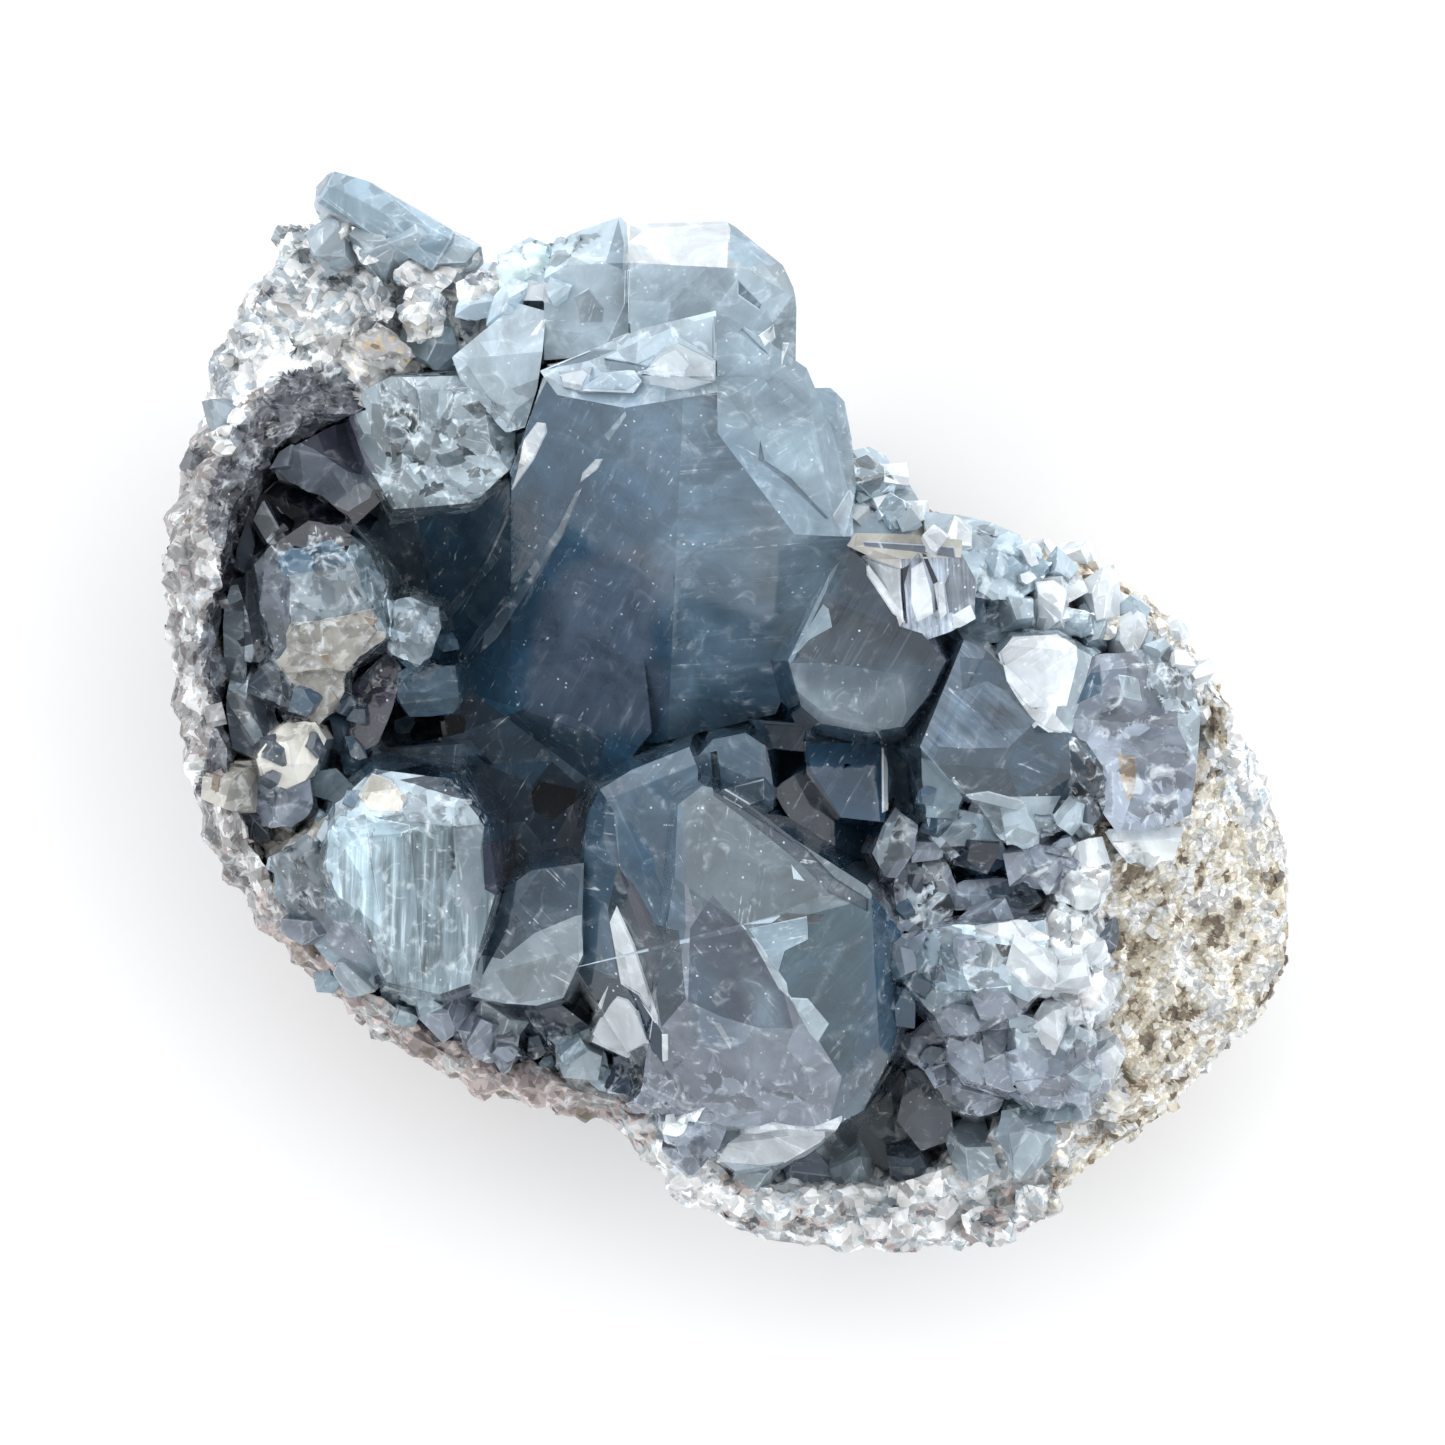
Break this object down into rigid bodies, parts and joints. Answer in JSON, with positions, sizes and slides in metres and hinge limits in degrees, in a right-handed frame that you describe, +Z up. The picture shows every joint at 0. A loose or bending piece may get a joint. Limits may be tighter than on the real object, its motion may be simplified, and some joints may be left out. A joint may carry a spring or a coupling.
{
  "type": "celestite crystal cluster",
  "caption": "Cluster of glassy grey-blue blocky crystals around a larger stepped crystal, grown together in the hollow of a granular rock rind; a mineral display specimen.",
  "frame": {"origin": "middle of the bounding box in plan, at the level of the surface that the specimen rests on", "axes": "+Z up, out of the open side of the hollow, so the crystals point up; +X along the longest side, to the right of the picture; +Y towards the top of the picture"},
  "size_m": [0.102, 0.0978, 0.0545],
  "materials": {
    "rind": "matt granular rock, off-white with beige and brown grains",
    "crystals": "clear to cloudy grey-blue crystal, glassy faces with fine growth lines and frosted patches"
  },
  "bodies": {
    "root": {"rind": "rind", "crystals": "crystals"}
  },
  "joints": []
}
